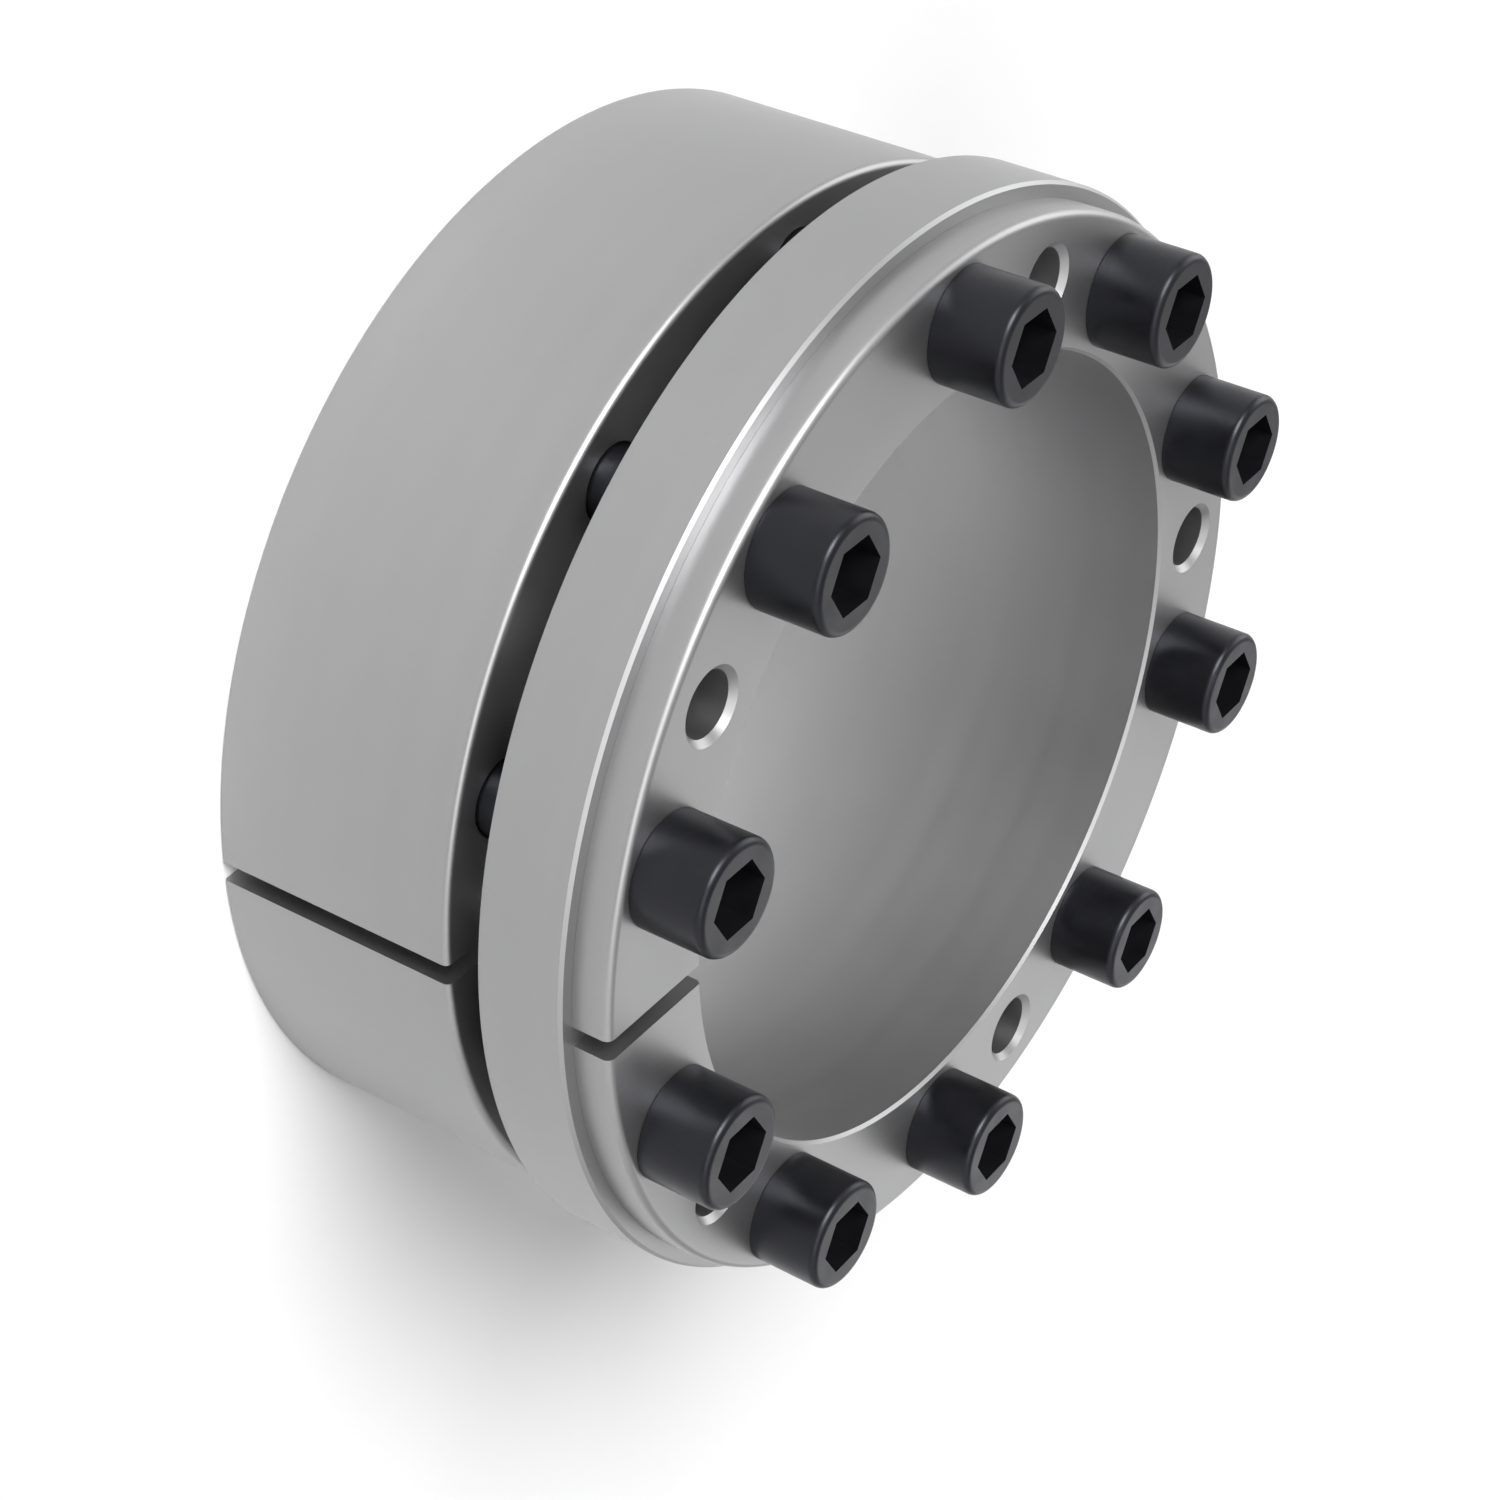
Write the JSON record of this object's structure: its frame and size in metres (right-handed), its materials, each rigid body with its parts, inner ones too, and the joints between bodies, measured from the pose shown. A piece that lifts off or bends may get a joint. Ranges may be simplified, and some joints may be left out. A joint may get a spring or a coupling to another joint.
{
  "type": "keyless locking assembly",
  "caption": "Self-centring keyless locking assembly: slit inner and outer cone rings, spacer ring and socket head clamping screws that lock a hub on a shaft.",
  "frame": {"origin": "on the ring's axis at the outer ring's rear face, on which the assembly stands", "axes": "+Z along the axis from the rear face to the screw heads, +X through the slits of both rings"},
  "size_m": [0.206, 0.206, 0.0975],
  "materials": {
    "ring_steel": "satin turned",
    "screw_steel": "black oxide"
  },
  "bodies": {
    "outer_ring": {"outer_ring": "ring_steel"},
    "inner_ring": {"inner_ring": "ring_steel", "spacer_ring": "ring_steel"},
    "clamp_screw_01": {"clamp_screw_01": "screw_steel"},
    "clamp_screw_02": {"clamp_screw_02": "screw_steel"},
    "clamp_screw_03": {"clamp_screw_03": "screw_steel"},
    "clamp_screw_04": {"clamp_screw_04": "screw_steel"},
    "clamp_screw_05": {"clamp_screw_05": "screw_steel"},
    "clamp_screw_06": {"clamp_screw_06": "screw_steel"},
    "clamp_screw_07": {"clamp_screw_07": "screw_steel"},
    "clamp_screw_08": {"clamp_screw_08": "screw_steel"},
    "clamp_screw_09": {"clamp_screw_09": "screw_steel"},
    "clamp_screw_10": {"clamp_screw_10": "screw_steel"}
  },
  "joints": [
    {"name": "draw", "type": "slide", "parent": "outer_ring", "child": "inner_ring", "axis": [0, 0, 1], "range_m": [0, 0.008]},
    {"name": "clamp_screw_01_turn", "type": "hinge", "parent": "inner_ring", "child": "clamp_screw_01", "pos_m": [0.08322, 0.02704, 0.0835], "axis": [0, 0, 1], "range_deg": [0, 1440]},
    {"name": "clamp_screw_02_turn", "type": "hinge", "parent": "inner_ring", "child": "clamp_screw_02", "pos_m": [0.05143, 0.07079, 0.0835], "axis": [0, 0, 1], "range_deg": [0, 1440]},
    {"name": "clamp_screw_03_turn", "type": "hinge", "parent": "inner_ring", "child": "clamp_screw_03", "pos_m": [0, 0.0875, 0.0835], "axis": [0, 0, 1], "range_deg": [0, 1440]},
    {"name": "clamp_screw_04_turn", "type": "hinge", "parent": "inner_ring", "child": "clamp_screw_04", "pos_m": [-0.05143, 0.07079, 0.0835], "axis": [0, 0, 1], "range_deg": [0, 1440]},
    {"name": "clamp_screw_05_turn", "type": "hinge", "parent": "inner_ring", "child": "clamp_screw_05", "pos_m": [-0.08322, 0.02704, 0.0835], "axis": [0, 0, 1], "range_deg": [0, 1440]},
    {"name": "clamp_screw_06_turn", "type": "hinge", "parent": "inner_ring", "child": "clamp_screw_06", "pos_m": [-0.08322, -0.02704, 0.0835], "axis": [0, 0, 1], "range_deg": [0, 1440]},
    {"name": "clamp_screw_07_turn", "type": "hinge", "parent": "inner_ring", "child": "clamp_screw_07", "pos_m": [-0.05143, -0.07079, 0.0835], "axis": [0, 0, 1], "range_deg": [0, 1440]},
    {"name": "clamp_screw_08_turn", "type": "hinge", "parent": "inner_ring", "child": "clamp_screw_08", "pos_m": [0, -0.0875, 0.0835], "axis": [0, 0, 1], "range_deg": [0, 1440]},
    {"name": "clamp_screw_09_turn", "type": "hinge", "parent": "inner_ring", "child": "clamp_screw_09", "pos_m": [0.05143, -0.07079, 0.0835], "axis": [0, 0, 1], "range_deg": [0, 1440]},
    {"name": "clamp_screw_10_turn", "type": "hinge", "parent": "inner_ring", "child": "clamp_screw_10", "pos_m": [0.08322, -0.02704, 0.0835], "axis": [0, 0, 1], "range_deg": [0, 1440]}
  ],
  "couplings": [
    {"joint": "clamp_screw_01_turn", "follows": "draw", "rad_per_m": 3141.6},
    {"joint": "clamp_screw_02_turn", "follows": "draw", "rad_per_m": 3141.6},
    {"joint": "clamp_screw_03_turn", "follows": "draw", "rad_per_m": 3141.6},
    {"joint": "clamp_screw_04_turn", "follows": "draw", "rad_per_m": 3141.6},
    {"joint": "clamp_screw_05_turn", "follows": "draw", "rad_per_m": 3141.6},
    {"joint": "clamp_screw_06_turn", "follows": "draw", "rad_per_m": 3141.6},
    {"joint": "clamp_screw_07_turn", "follows": "draw", "rad_per_m": 3141.6},
    {"joint": "clamp_screw_08_turn", "follows": "draw", "rad_per_m": 3141.6},
    {"joint": "clamp_screw_09_turn", "follows": "draw", "rad_per_m": 3141.6},
    {"joint": "clamp_screw_10_turn", "follows": "draw", "rad_per_m": 3141.6}
  ]
}
